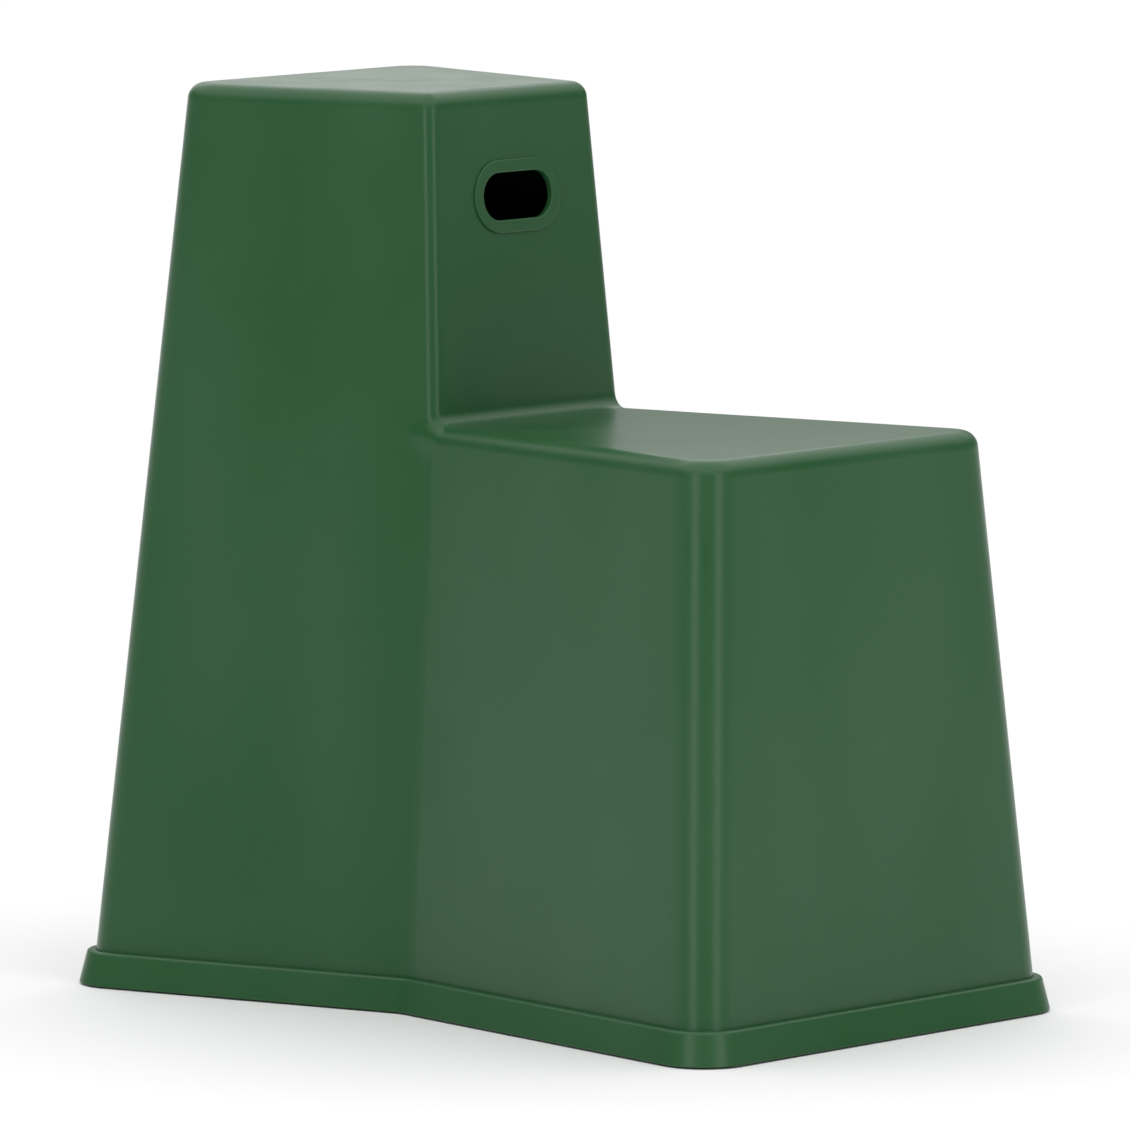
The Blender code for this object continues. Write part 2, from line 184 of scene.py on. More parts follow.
# Light from all round: strengths, and the cosines from straight behind and straight up where they fade in.
FRONT_LIGHT = 0.12
BACK_LIGHT = 0.38
OVERHEAD_LIGHT = 1.60
BACKDROP_LIGHT = 1.0
BACK_FADE = (0.5, 0.95)
OVERHEAD_FADE = (0.25, 0.75)

# Soft lights: plan angle in degrees from +X, distance, width, bottom, top, radiance.
SOFTBOXES = (
    (-80.0, 4.0, 1.4, 0.0, 2.4, 2.1),
    (-10.0, 4.0, 1.4, 0.0, 2.4, 2.1),
    (140.0, 1.1, 1.3, 0.80, 1.60, 0.60),
)


# The shell's outer surface is the zero level of a distance field built from its wall planes.

def side_field(points, side, waist, slope, draft):
    x, y, z = points.T
    lean = math.sqrt(1.0 + slope ** 2 + draft ** 2)
    return (side * y - waist - slope * (RISER_X - x) + draft * z) / lean


def end_field(points, side, reach, draft):
    x, _, z = points.T
    return (side * x - reach + draft * z) / math.sqrt(1.0 + draft ** 2)


def round_max(a, b, radius, cosine=0.0):
    """Intersection of two fields with a rounded edge, by the cosine between their outward normals."""
    p, q = a + radius, b + radius
    reach = np.sqrt(np.maximum(p * p + q * q - 2 * cosine * p * q, 0.0) / (1.0 - cosine ** 2))
    on_arc = (q > cosine * p) & (p > cosine * q) & (np.maximum(p, q) > 0.0)
    return np.where(on_arc, reach - radius, np.maximum(a, b))


def corner_cosine(slope, side_draft, end_draft):
    """Cosine between the outward normals of a side wall and an end wall, which the slope turns it to."""
    side_lean = math.sqrt(1.0 + slope ** 2 + side_draft ** 2)
    return (slope + side_draft * end_draft) / side_lean / math.sqrt(1.0 + end_draft ** 2)


def round_min(a, b, radius):
    """Union of two fields, with a rounded inside corner."""
    return -round_max(-a, -b, radius)


def smooth_step(value):
    t = np.clip(value, 0.0, 1.0)
    return t * t * (3.0 - 2.0 * t)


def tower_field(points):
    z = points[:, 2]
    rear = end_field(points, -1, -REAR_X, REAR_DRAFT)
    riser = end_field(points, 1, RISER_X + RISER_DRAFT * STEP_HEIGHT, RISER_DRAFT)
    plan = np.full(len(points), -1.0)
    for side in (-1, 1):
        wall = side_field(points, side, TOWER_WAIST_HALF_WIDTH, TOWER_SLOPE, TOWER_SIDE_DRAFT)
        to_rear = corner_cosine(-TOWER_SLOPE, TOWER_SIDE_DRAFT, REAR_DRAFT)
        to_riser = corner_cosine(TOWER_SLOPE, TOWER_SIDE_DRAFT, RISER_DRAFT)
        plan = np.maximum(plan, round_max(wall, rear, END_CORNER_RADIUS, to_rear))
        plan = np.maximum(plan, round_max(wall, riser, RISER_CORNER_RADIUS, to_riser))
    return round_max(plan, z - TOTAL_HEIGHT, TREAD_EDGE_RADIUS, TOWER_SIDE_DRAFT)


def step_field(points):
    z = points[:, 2]
    front = end_field(points, 1, FRONT_X, FRONT_DRAFT)
    plan = end_field(points, -1, STEP_RUN_BACK - RISER_X, 0.0)
    for side in (-1, 1):
        wall = side_field(points, side, STEP_WAIST_HALF_WIDTH, STEP_SLOPE, STEP_SIDE_DRAFT)
        to_front = corner_cosine(STEP_SLOPE, STEP_SIDE_DRAFT, FRONT_DRAFT)
        plan = np.maximum(plan, round_max(wall, front, END_CORNER_RADIUS, to_front))
    return round_max(plan, z - STEP_HEIGHT, TREAD_EDGE_RADIUS, STEP_SIDE_DRAFT)


def shell_field(points):
    rise = (points[:, 2] - STEP_HEIGHT) / BLEND_CHANGE_HEIGHT + 1.0
    blend = WAIST_BLEND + (RISER_FOOT_RADIUS - WAIST_BLEND) * smooth_step(rise)
    return round_min(tower_field(points), step_field(points), blend)


def gradient(points):
    slopes = []
    for axis in range(3):
        shift = np.zeros(3)
        shift[axis] = SLOPE_REACH
        slopes.append((shell_field(points + shift) - shell_field(points - shift)) / (2 * SLOPE_REACH))
    return np.stack(slopes, axis=1)


def settle(points, level, held):
    """Moves points on to one level of the field. The held ones keep their height."""
    for _ in range(SETTLE_STEPS):
        slope = gradient(points)
        slope[held, 2] = 0.0
        excess = (shell_field(points) - level) / np.maximum((slope ** 2).sum(axis=1), LEAST_SLOPE)
        points = points - slope * excess[:, None]
    return points


# The shell's mesh: the surface of an L-shaped block of cells, settled on the field.

def graded(length, start, end):
    """Fractions of a length, with the given steps from each end and an even pitch between them."""
    spans = max(2, round((length - start[-1] - end[-1]) / PITCH))
    middle = np.linspace(start[-1], length - end[-1], spans + 1)[1:-1]
    ends = [length - step for step in reversed(end)]
    return np.array([*start, *middle, *ends]) / length


def crease_x(z):
    """Where the tower's side wall meets the step's at one height."""
    gap = TOWER_WAIST_HALF_WIDTH - STEP_WAIST_HALF_WIDTH - (TOWER_SIDE_DRAFT - STEP_SIDE_DRAFT) * z
    return RISER_X + gap / (TOWER_SLOPE - STEP_SLOPE)


def split_x(z):
    """The line on which the tower's cells meet the step's."""
    if z >= STEP_HEIGHT:
        return RISER_X - RISER_DRAFT * (z - STEP_HEIGHT)
    share = float(smooth_step((z - STEP_HEIGHT) / BLEND_CHANGE_HEIGHT + 1.0))
    return crease_x(z) * (1 - share) + RISER_X * share


def half_width(x, z, on_tower):
    if on_tower:
        return TOWER_WAIST_HALF_WIDTH + TOWER_SLOPE * (RISER_X - x) - TOWER_SIDE_DRAFT * z
    return STEP_WAIST_HALF_WIDTH + STEP_SLOPE * (RISER_X - x) - STEP_SIDE_DRAFT * z


class Cells:
    """Cell counts and positions of the L-shaped block."""

    def __init__(self):
        self.tower = graded(RISER_X - REAR_X, EDGE_STEPS, EDGE_STEPS)
        self.step = graded(FRONT_X - RISER_X, EDGE_STEPS, EDGE_STEPS)
        self.across = graded(2 * TOWER_WAIST_HALF_WIDTH, EDGE_STEPS, EDGE_STEPS) * 2 - 1
        lower = graded(STEP_HEIGHT - SHELL_FOOT, (0.0,), EDGE_STEPS)
        upper = graded(TOTAL_HEIGHT - STEP_HEIGHT, EDGE_STEPS, EDGE_STEPS)
        below = SHELL_FOOT + lower * (STEP_HEIGHT - SHELL_FOOT)
        above = STEP_HEIGHT + upper[1:] * (TOTAL_HEIGHT - STEP_HEIGHT)
        self.heights = np.concatenate([below, above])
        self.split_i = len(self.tower) - 1
        self.split_k = len(lower) - 1
        self.count = (self.split_i + len(self.step) - 1, len(self.across) - 1, len(self.heights) - 1)

    def place(self, i, j, k):
        z = self.heights[k]
        middle = split_x(z)
        if i <= self.split_i:
            rear = REAR_X + REAR_DRAFT * z
            x = rear + self.tower[i] * (middle - rear)
        else:
            front = FRONT_X - FRONT_DRAFT * z
            x = middle + self.step[i - self.split_i] * (front - middle)
        half = half_width(x, z, i < self.split_i or k > self.split_k)
        if i == self.split_i and k <= self.split_k:
            half = (half_width(x, z, True) + half_width(x, z, False)) / 2
        return x, self.across[j] * half, z

    def quads(self):
        """Corner cells of each surface quad, turned outwards, leaving the bottom open."""
        ni, nj, nk = self.count
        for j in range(nj):
            for k in range(nk):
                yield (0, j, k), (0, j, k + 1), (0, j + 1, k + 1), (0, j + 1, k)
                end = ni if k < self.split_k else self.split_i
                yield (end, j, k), (end, j + 1, k), (end, j + 1, k + 1), (end, j, k + 1)
            for i in range(ni):
                top = nk if i < self.split_i else self.split_k
                yield (i, j, top), (i + 1, j, top), (i + 1, j + 1, top), (i, j + 1, top)
        for i in range(ni):
            for k in range(nk if i < self.split_i else self.split_k):
                yield (i, 0, k), (i + 1, 0, k), (i + 1, 0, k + 1), (i, 0, k + 1)
                yield (i, nj, k), (i, nj, k + 1), (i + 1, nj, k + 1), (i + 1, nj, k)


def shell_surface(level):
    """Points and quads of one level of the field, with the points of the open foot marked."""
    cells = Cells()
    index = {}
    quads = []
    for quad in cells.quads():
        quads.append([index.setdefault(corner, len(index)) for corner in quad])
    points = np.array([cells.place(*corner) for corner in index])
    at_foot = np.array([corner[2] == 0 for corner in index])
    points = settle(points, 0.0, at_foot)
    if level != 0.0:
        points = settle(points + level * gradient(points), level, at_foot)
    return points, quads, at_foot


def foot_edges(quads, at_foot):
    """Directed edges of the open foot."""
    edges = []
    for quad in quads:
        for a, b in zip(quad, quad[1:] + quad[:1]):
            if at_foot[a] and at_foot[b]:
                edges.append((a, b))
    return edges


# Mesh helpers.

def add_object(name, data):
    obj = bpy.data.objects.new(name, data)
    bpy.context.scene.collection.objects.link(obj)
    return obj


def mesh_object(name, points, faces):
    mesh = bpy.data.meshes.new(name)
    mesh.from_pydata([tuple(p) for p in points], [], faces)
    mesh.validate()
    return add_object(name, mesh)


def from_bmesh(name, bm):
    mesh = bpy.data.meshes.new(name)
    bm.to_mesh(mesh)
    bm.free()
    return add_object(name, mesh)


def box(name, low, high):
    bm = bmesh.new()
    size = Vector(high) - Vector(low)
    place = Matrix.Translation((Vector(low) + Vector(high)) / 2) @ Matrix.Diagonal((*size, 1.0))
    bmesh.ops.create_cube(bm, size=1.0, matrix=place)
    return from_bmesh(name, bm)


def cylinder(name, x, y, radius, bottom, top):
    bm = bmesh.new()
    bmesh.ops.create_cone(
        bm,
        cap_ends=True,
        segments=ROUND_SIDES,
        radius1=radius,
        radius2=radius,
        depth=top - bottom,
        matrix=Matrix.Translation((x, y, (bottom + top) / 2)),
    )
    return from_bmesh(name, bm)


def ring_faces(rings, count, closed):
    """Quads between neighbouring rings of points, and back to the first ring if the section closes."""
    faces = []
    for r in range(rings if closed else rings - 1):
        base, following = r * count, (r + 1) % rings * count
        for i in range(count):
            j = (i + 1) % count
            faces.append([base + i, base + j, following + j, following + i])
    return faces


def swept(name, rings, closed=True):
    """A ring of closed section, or a capped solid, through outlines of equal point count."""
    count = len(rings[0])
    points = [point for ring in rings for point in ring]
    faces = ring_faces(len(rings), count, closed)
    if not closed:
        faces.append(list(reversed(range(count))))
        faces.append(list(range(count * (len(rings) - 1), count * len(rings))))
    obj = mesh_object(name, points, faces)
    turn_outwards(obj)
    return obj


def turn_outwards(obj):
    bm = bmesh.new()
    bm.from_mesh(obj.data)
    bmesh.ops.recalc_face_normals(bm, faces=bm.faces)
    bm.to_mesh(obj.data)
    bm.free()


def bake_modifiers(obj):
    bpy.context.view_layer.update()
    graph = bpy.context.evaluated_depsgraph_get()
    mesh = bpy.data.meshes.new_from_object(obj.evaluated_get(graph))
    obj.modifiers.clear()
    obj.data = mesh


def combine(obj, others, operation):
    """One Boolean of an object with several others, which are then removed."""
    group = bpy.data.collections.new("operands")
    for other in others:
        group.objects.link(other)
    modifier = obj.modifiers.new("combine", "BOOLEAN")
    modifier.operation = operation
    modifier.operand_type = "COLLECTION"
    modifier.collection = group
    bake_modifiers(obj)
    for other in others:
        bpy.data.objects.remove(other, do_unlink=True)
    bpy.data.collections.remove(group)


def trim(obj, other):
    modifier = obj.modifiers.new("trim", "BOOLEAN")
    modifier.operation = "INTERSECT"
    modifier.object = other
    bake_modifiers(obj)
    bpy.data.objects.remove(other, do_unlink=True)


def shade_by_area(obj):
    """Smooth shading that keeps flat faces flat and sharp corners crisp."""
    obj.data.shade_smooth()
    obj.data.set_sharp_from_angle(angle=math.radians(SHARP_ANGLE))
    modifier = obj.modifiers.new("flat faces stay flat", "WEIGHTED_NORMAL")
    modifier.keep_sharp = True
    bake_modifiers(obj)


# The shell.

def hollow_shell(name):
    """Outer and inner skins, joined round the foot."""
    outer, quads, at_foot = shell_surface(0.0)
    inner, _, _ = shell_surface(-WALL)
    count = len(outer)
    faces = list(quads)
    faces += [[count + i for i in reversed(quad)] for quad in quads]
    faces += [[b, a, count + a, count + b] for a, b in foot_edges(quads, at_foot)]
    return mesh_object(name, np.concatenate([outer, inner]), faces)


def wall_core():
    """Solid up to half way into the walls, which trims the ribs."""
    points, quads, at_foot = shell_surface(-WALL / 2)
    following = dict(foot_edges(quads, at_foot))
    loop = [next(iter(following))]
    while following[loop[-1]] != loop[0]:
        loop.append(following[loop[-1]])
    return mesh_object("wall_core", points, quads + [list(reversed(loop))])


def rib_boxes(low_x, high_x, tread):
    """Two webs along the block and evenly spaced ones across it."""
    bottom = tread - WALL - RIB_DEPTH
    top = tread - WALL / 2
    half = RIB_THICKNESS / 2
    ribs = []
    for side in (-1, 1):
        y = side * LONG_RIB_SPACING / 2
        ribs.append(box("rib", (low_x, y - half, bottom), (high_x, y + half, top)))
    count = math.ceil((high_x - low_x) / CROSS_RIB_PITCH)
    for index in range(1, count):
        x = low_x + (high_x - low_x) * index / count
        ribs.append(box("rib", (x - half, -END_HALF_WIDTH, bottom), (x + half, END_HALF_WIDTH, top)))
    return ribs


def make_ribs():
    tower_back = REAR_X + REAR_DRAFT * TOTAL_HEIGHT
    tower_front = RISER_X - RISER_DRAFT * (TOTAL_HEIGHT - STEP_HEIGHT)
    step_front = FRONT_X - FRONT_DRAFT * STEP_HEIGHT
    boxes = rib_boxes(tower_back, tower_front, TOTAL_HEIGHT)
    boxes += rib_boxes(RISER_X - WALL / 2, step_front, STEP_HEIGHT)
    ribs = boxes.pop()
    combine(ribs, boxes, "UNION")
    trim(ribs, wall_core())
    return ribs


def screw_centres():
    for name in sorted(frame["nodes"]):
        if name.startswith("rim_screw"):
            low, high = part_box(name)
            yield (low[0] + high[0]) / 2, (low[1] + high[1]) / 2


def shade_from_field(obj):
    """Gives each face corner on a skin the field's own normal, and every other corner its face's."""
    mesh = obj.data
    places = np.empty(len(mesh.vertices) * 3)
    mesh.vertices.foreach_get("co", places)
    places = places.reshape(-1, 3)
    field = shell_field(places)
    slope = gradient(places)
    slope /= np.linalg.norm(slope, axis=1)[:, None]
    normals = []
    for polygon in mesh.polygons:
        polygon.use_smooth = True
        face = np.array(polygon.normal)
        for vertex in polygon.vertices:
            on_outer = abs(field[vertex]) < SKIN_TOLERANCE
            on_inner = abs(field[vertex] + WALL) < SKIN_TOLERANCE
            turned = slope[vertex] if on_outer else -slope[vertex]
            smooth = (on_outer or on_inner) and turned @ face > SKIN_FACING
            normals.append(turned if smooth else face)
    mesh.normals_split_custom_set(normals)


def make_shell():
    shell = hollow_shell("shell_moulding")
    boss_top = SHELL_FOOT + BOSS_HEIGHT
    grow = COLLAR_SLEEVE_WALL + FIT_GAP
    hole_ends = [grip_ring(grow, depth) for depth in (-CUT_MARGIN, CUT_MARGIN)]
    additions = [make_ribs()]
    cuts = [swept("grip_hole", hole_ends, closed=False)]
    for x, y in screw_centres():
        additions.append(cylinder("boss", x, y, BOSS_RADIUS, SHELL_FOOT, boss_top))
        cuts.append(cylinder("pilot", x, y, PILOT_RADIUS, SHELL_FOOT - CUT_MARGIN, boss_top - WALL))
    combine(shell, additions, "UNION")
    combine(shell, cuts, "DIFFERENCE")
    shade_from_field(shell)
    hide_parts("body_shell")
    return shell


# The base rim: a closed section carried round the outline of the foot.

def side_line(side, waist, slope, draft, z):
    lean = math.hypot(slope, 1.0)
    return (slope / lean, side / lean), (waist + slope * RISER_X - draft * z) / lean


def foot_lines(z, offset):
    """Wall lines in plan at one height, as (unit normal, reach), counter-clockwise from the rear."""
    tower = (TOWER_WAIST_HALF_WIDTH, TOWER_SLOPE, TOWER_SIDE_DRAFT, z)
    step = (STEP_WAIST_HALF_WIDTH, STEP_SLOPE, STEP_SIDE_DRAFT, z)
    lines = (
        ((-1.0, 0.0), -REAR_X - REAR_DRAFT * z),
        side_line(-1, *tower),
        side_line(-1, *step),
        ((1.0, 0.0), FRONT_X - FRONT_DRAFT * z),
        side_line(1, *step),
        side_line(1, *tower),
    )
    return [(Vector(normal), reach + offset) for normal, reach in lines]


def crossing(line_a, line_b):
    (na, da), (nb, db) = line_a, line_b
    det = na.x * nb.y - na.y * nb.x
    return Vector(((da * nb.y - db * na.y) / det, (na.x * db - nb.x * da) / det))


def foot_ring(offset, z):
    """The foot's outline, moved out by an offset, with arcs at its outside corners and its waist."""
    lines = foot_lines(z, offset)
    ring = []
    for line, following in zip(lines, lines[1:] + lines[:1]):
        start = math.atan2(line[0].y, line[0].x)
        turn = math.remainder(math.atan2(following[0].y, following[0].x) - start, 2 * math.pi)
        arc = END_CORNER_RADIUS + offset if turn > 0 else offset - WAIST_CREASE_RADIUS
        centre = crossing((line[0], line[1] - arc), (following[0], following[1] - arc))
        for step in range(ARC_STEPS + 1):
            angle = start + turn * step / ARC_STEPS
            ring.append((*(centre + arc * Vector((math.cos(angle), math.sin(angle)))), z))
    return ring


def arc_points(centre_x, centre_z, radius, start, end, steps=6):
    """Points along an arc of a section, with angles in degrees."""
    points = []
    for step in range(steps + 1):
        angle = math.radians(start + (end - start) * step / steps)
        points.append((centre_x + radius * math.cos(angle), centre_z + radius * math.sin(angle)))
    return points


def rim_section():
    """(offset from the walls, height) round the rim's section."""
    shelf = RIM_BOTTOM + RIM_SHELF
    inside = -WALL - RIM_SHELF_INSET
    foot, edge = RIM_FOOT_RADIUS, RIM_EDGE_RADIUS
    section = arc_points(RIM_SPREAD - foot, RIM_BOTTOM + foot, foot, -90, 0)
    section += arc_points(RIM_LEDGE - edge, RIM_HEIGHT - edge, edge, 0, 90)
    section += arc_points(FIT_GAP + foot / 2, RIM_HEIGHT - foot / 2, foot / 2, 90, 180, 3)
    section += [(FIT_GAP, shelf)]
    section += arc_points(inside + foot, shelf - foot, foot, 90, 180, 4)
    section += [(inside, RIM_BOTTOM)]
    return section


def pad_pockets():
    """Each pad's own shape, grown by the fitting gap."""
    for name in sorted(frame["nodes"]):
        if not name.startswith("foot_pad"):
            continue
        low, high = (Vector(corner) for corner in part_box(name))
        middle = (low + high) / 2
        grow = Matrix.Diagonal([1 + 2 * FIT_GAP / size for size in high - low]).to_4x4()
        pocket = add_object("pad_pocket", frame["nodes"][name].data.copy())
        pocket.data.transform(Matrix.Translation(middle) @ grow @ Matrix.Translation(-middle))
        yield pocket


def make_rim():
    rim = swept("rim_ring", [foot_ring(offset, z) for offset, z in rim_section()])
    head_low, head_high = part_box("rim_screw_01")
    head_radius = (head_high[0] - head_low[0]) / 2 + FIT_GAP
    seat = RIM_BOTTOM + SCREW_SEAT
    cuts = list(pad_pockets())
    for x, y in screw_centres():
        cuts.append(cylinder("counterbore", x, y, head_radius, RIM_BOTTOM - CUT_MARGIN, seat))
        cuts.append(cylinder("screw_hole", x, y, PILOT_RADIUS, seat - SCREW_SEAT / 2, RIM_HEIGHT))
    combine(rim, cuts, "DIFFERENCE")
    shade_by_area(rim)
    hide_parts("base_rim")
    return rim


# The collar of the hand slot.

def grip_matrix():
    """Local X across the block, local Y up the riser, local Z out of it, on the riser's face."""
    height = STEP_HEIGHT + GRIP_HEIGHT_ABOVE_STEP
    normal = Vector((1.0, 0.0, RISER_DRAFT)).normalized()
    across = Vector((0.0, 1.0, 0.0))
    turn = Matrix((across, normal.cross(across), normal)).transposed().to_4x4()
    return Matrix.Translation((RISER_X - RISER_DRAFT * GRIP_HEIGHT_ABOVE_STEP, 0.0, height)) @ turn


def grip_ring(grow, depth):
    """The slot's oblong outline, grown all round, at one depth along the slot's axis."""
    radius = GRIP_OPENING / 2 + grow
    reach = (GRIP_WIDTH - GRIP_OPENING) / 2
    place = grip_matrix()
    ring = []
    for side in (1, -1):
        for step in range(2 * ARC_STEPS + 1):
            angle = math.pi * (step / (2 * ARC_STEPS) - 0.5)
            x = side * (reach + radius * math.cos(angle))
            ring.append(tuple(place @ Vector((x, side * radius * math.sin(angle), depth))))
    return ring


def collar_section():
    """(growth from the opening, depth) round the collar's section."""
    edge, lip = COLLAR_EDGE_RADIUS, COLLAR_LIP_RADIUS
    sleeve, chamfer = COLLAR_SLEEVE_WALL, COLLAR_SLEEVE_CHAMFER
    section = arc_points(lip, COLLAR_PROUD - lip, lip, 180, 90, 8)
    section += arc_points(COLLAR_BORDER - edge, COLLAR_PROUD - edge, edge, 90, 0)
    section += [(COLLAR_BORDER, FIT_GAP), (sleeve, FIT_GAP), (sleeve, chamfer - COLLAR_SLEEVE_DEPTH)]
    section += [(sleeve - chamfer, -COLLAR_SLEEVE_DEPTH), (0.0, -COLLAR_SLEEVE_DEPTH)]
    return section


def make_collar():
    collar = swept("collar_ring", [grip_ring(grow, depth) for grow, depth in collar_section()])
    shade_by_area(collar)
    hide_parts("grip_collar")
    return collar


# Materials.

def paint(obj, material):
    obj.data.materials.clear()
    obj.data.materials.append(material)


def feed(tree, socket, value):
    """Links a socket to another one, or sets its value."""
    if isinstance(value, bpy.types.NodeSocket):
        tree.links.new(value, socket)
    else:
        socket.default_value = value


def ranged(tree, value, low, high, to_low, to_high):
    """The value carried from one range to another, easing in and out, and held at its ends."""
    made = tree.nodes.new("ShaderNodeMapRange")
    made.interpolation_type = "SMOOTHSTEP"
    for socket, given in enumerate((value, low, high, to_low, to_high)):
        feed(tree, made.inputs[socket], given)
    return made.outputs["Result"]


class Surface:
    """A material's node tree, with its Principled shader and its object-space position."""

    def __init__(self, name):
        self.material = bpy.data.materials.new(name)
        self.material.use_nodes = True
        self.tree = self.material.node_tree
        self.shader = self.tree.nodes["Principled BSDF"]
        self.place = self.tree.nodes.new("ShaderNodeTexCoord").outputs["Object"]

    def node(self, kind, inputs=None, **settings):
        made = self.tree.nodes.new(kind)
        for setting, value in settings.items():
            setattr(made, setting, value)
        for key, value in (inputs or {}).items():
            feed(self.tree, made.inputs[key], value)
        return made

    def set(self, values):
        for name, value in values.items():
            feed(self.tree, self.shader.inputs[name], value)

    def stretched(self, factors):
        inputs = {"Vector": self.place, "Scale": factors}
        return self.node("ShaderNodeMapping", inputs).outputs["Vector"]

    def noise(self, size, detail=2.0, place=None):
        """Noise whose features are about this size, in metres."""
        inputs = {"Vector": place or self.place, "Scale": 1.0 / size, "Detail": detail}
        return self.node("ShaderNodeTexNoise", inputs).outputs["Fac"]

    def ranged(self, value, low, high, to_low=0.0, to_high=1.0):
        return ranged(self.tree, value, low, high, to_low, to_high)

    def spread(self, noise, to_low, to_high):
        """Most of a noise's own range, carried to another one."""
        return self.ranged(noise, NOISE_LOW, NOISE_HIGH, to_low, to_high)

    def math(self, operation, a, b):
        return self.node("ShaderNodeMath", {0: a, 1: b}, operation=operation).outputs["Value"]

    def mixed(self, factor, colour_a, colour_b):
        made = self.node("ShaderNodeMix", {0: factor}, data_type="RGBA")
        colours = [socket for socket in made.inputs if socket.type == "RGBA"]
        feed(self.tree, colours[0], colour_a)
        feed(self.tree, colours[1], colour_b)
        return next(socket for socket in made.outputs if socket.type == "RGBA")

    def upward(self):
        """1 on faces that look straight up, 0 on walls."""
        normal = self.node("ShaderNodeNewGeometry").outputs["Normal"]
        up = self.node("ShaderNodeSeparateXYZ", {"Vector": normal}).outputs["Z"]
        return self.ranged(up, low=0.80, high=0.99)

    def bump(self, height, distance, normal=None):
        inputs = {"Height": height, "Distance": distance, "Strength": 1.0}
        if normal is not None:
            inputs["Normal"] = normal
        return self.node("ShaderNodeBump", inputs).outputs["Normal"]


def plastic(name, roughness):
    """Moulded plastic: an even grain, faint flow marks, and scuffs on the treads and near the floor."""
    surface = Surface(name)
    height = surface.node("ShaderNodeSeparateXYZ", {"Vector": surface.place}).outputs["Z"]
    near_floor = surface.ranged(height, 0.0, FLOOR_SCUFF_HEIGHT, 1.0, 0.0)
    low_down = surface.math("MULTIPLY", near_floor, FLOOR_SCUFF_SHARE)
    exposed = surface.math("MAXIMUM", surface.upward(), low_down)
    scratch_noise = surface.noise(SCRATCH_SIZE, detail=3.0, place=surface.stretched(SCRATCH_STRETCH))
    scratches = surface.ranged(scratch_noise, low=0.60, high=0.70)
    patches = surface.ranged(surface.noise(SCUFF_PATCH_SIZE), low=0.54, high=0.68)
    scuffs = surface.math("MULTIPLY", surface.math("MULTIPLY", scratches, patches), exposed)

    flow = surface.noise(FLOW_MARK_SIZE, detail=1.0, place=surface.stretched(FLOW_MARK_STRETCH))
    tint = surface.spread(flow, 0.0, FLOW_MARK_TINT)
    paleness = surface.math("MAXIMUM", tint, surface.math("MULTIPLY", scuffs, SCUFF_TINT))
    gloss_noise = surface.noise(GLOSS_PATCH_SIZE)
    gloss = surface.spread(gloss_noise, roughness - GLOSS_CHANGE, roughness + GLOSS_CHANGE)
    scuff_roughness = surface.math("MULTIPLY", scuffs, SCUFF_ROUGHNESS)
    wave = surface.bump(surface.noise(SKIN_WAVE_SIZE, detail=0.0), SKIN_WAVE_DEPTH)
    surface.set({
        "Base Color": surface.mixed(paleness, GREEN, PALE_GREEN),
        "Roughness": surface.math("ADD", gloss, scuff_roughness),
        "Normal": surface.bump(surface.noise(GRAIN_SIZE, detail=0.0), GRAIN_DEPTH, wave),
        "Specular IOR Level": PLASTIC_SPECULAR,
    })
    return surface.material


def rubber(name):
    surface = Surface(name)
    dust = surface.ranged(surface.noise(size=0.006, detail=4.0), low=0.45, high=0.75, to_high=0.5)
    surface.set({
        "Base Color": surface.mixed(dust, RUBBER_BLACK, RUBBER_DUST),
        "Roughness": surface.spread(surface.noise(size=0.003, detail=3.0), to_low=0.72, to_high=0.92),
        "Normal": surface.bump(surface.noise(size=0.0006), distance=0.00005),
    })
    return surface.material


def zinc(name):
    surface = Surface(name)
    bloom = surface.ranged(surface.noise(size=0.0015, detail=3.0), low=0.40, high=0.70)
    surface.set({
        "Base Color": surface.mixed(bloom, ZINC_BRIGHT, ZINC_DULL),
        "Metallic": 1.0,
        "Roughness": surface.spread(surface.noise(size=0.0008, detail=3.0), to_low=0.28, to_high=0.46),
        "Normal": surface.bump(surface.noise(size=0.0003), distance=0.000008),
    })
    return surface.material


# Stage.

def make_camera():
    data = bpy.data.cameras.new("camera")
    data.sensor_width = SENSOR_WIDTH
    data.lens = CAMERA_LENS
    data.clip_end = 4 * FLOOR_HALF_SIZE
    camera = add_object("camera", data)
    camera.location = CAMERA_PLACE
    camera.rotation_euler = (math.radians(90 - CAMERA_ELEVATION), 0.0, math.radians(CAMERA_AZIMUTH))
    bpy.context.scene.camera = camera


def make_floor():
    bm = bmesh.new()
    bmesh.ops.create_grid(bm, x_segments=1, y_segments=1, size=FLOOR_HALF_SIZE)
    floor = from_bmesh("floor", bm)
    surface = Surface("floor_paint")
    surface.set({"Base Color": (FLOOR_TONE, FLOOR_TONE, FLOOR_TONE, 1.0), "Roughness": FLOOR_ROUGHNESS})
    paint(floor, surface.material)


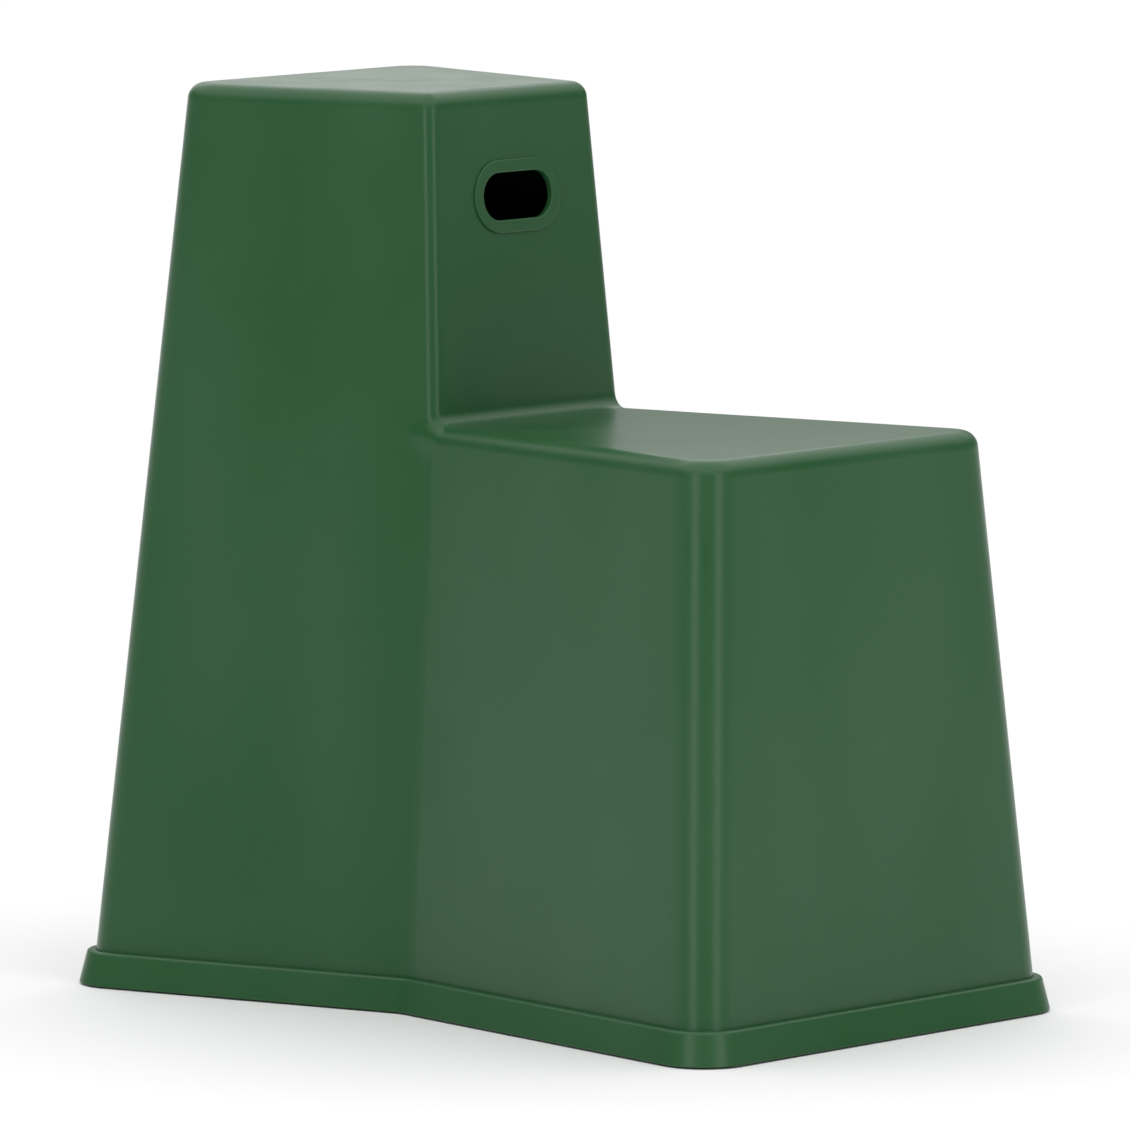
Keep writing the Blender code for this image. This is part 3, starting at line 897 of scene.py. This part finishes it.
def make_softboxes():
    """Two tall soft lights either side of the camera, and a low one behind for the treads."""
    for plan_angle, distance, width, bottom, top, radiance in SOFTBOXES:
        data = bpy.data.lights.new("softbox", "AREA")
        data.shape = "RECTANGLE"
        data.size = width
        data.size_y = top - bottom
        data.energy = radiance * math.pi * width * (top - bottom)
        light = add_object("softbox", data)
        angle = math.radians(plan_angle)
        x, y = distance * math.cos(angle), distance * math.sin(angle)
        light.location = (x, y, (bottom + top) / 2)
        light.rotation_euler = (math.pi / 2, 0.0, angle + math.pi / 2)
        light.visible_camera = False


def make_world():
    """Brightest overhead, bright behind the object and soft in front of it. The camera sees plain white."""
    world = bpy.data.worlds.new("studio")
    world.use_nodes = True
    tree = world.node_tree
    direction = tree.nodes.new("ShaderNodeTexCoord").outputs["Generated"]
    azimuth = math.radians(CAMERA_AZIMUTH)
    behind = tree.nodes.new("ShaderNodeVectorMath")
    behind.operation = "DOT_PRODUCT"
    feed(tree, behind.inputs[0], direction)
    feed(tree, behind.inputs[1], (-math.sin(azimuth), math.cos(azimuth), 0.0))
    axes = tree.nodes.new("ShaderNodeSeparateXYZ")
    feed(tree, axes.inputs["Vector"], direction)
    seen = tree.nodes.new("ShaderNodeLightPath").outputs["Is Camera Ray"]
    around = ranged(tree, behind.outputs["Value"], *BACK_FADE, FRONT_LIGHT, BACK_LIGHT)
    lighting = ranged(tree, axes.outputs["Z"], *OVERHEAD_FADE, around, OVERHEAD_LIGHT)
    background = tree.nodes["Background"]
    background.inputs["Color"].default_value = (1.0, 1.0, 1.0, 1.0)
    feed(tree, background.inputs["Strength"], ranged(tree, seen, 0.0, 1.0, lighting, BACKDROP_LIGHT))
    bpy.context.scene.world = world
    bpy.context.scene.view_settings.view_transform = "Standard"


# The object.

shell_plastic = plastic("shell_plastic", SHELL_ROUGHNESS)
trim_plastic = plastic("trim_plastic", TRIM_ROUGHNESS)
pad_rubber = rubber("pad_rubber")
screw_zinc = zinc("screw_zinc")

for piece, finish in ((make_shell(), "shell"), (make_rim(), "rim"), (make_collar(), "collar")):
    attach(piece, "root")
    paint(piece, shell_plastic if finish == "shell" else trim_plastic)
for name, node in frame["nodes"].items():
    if name.startswith("foot_pad"):
        paint(node, pad_rubber)
    elif name.startswith("rim_screw"):
        paint(node, screw_zinc)

make_camera()
make_floor()
make_softboxes()
make_world()
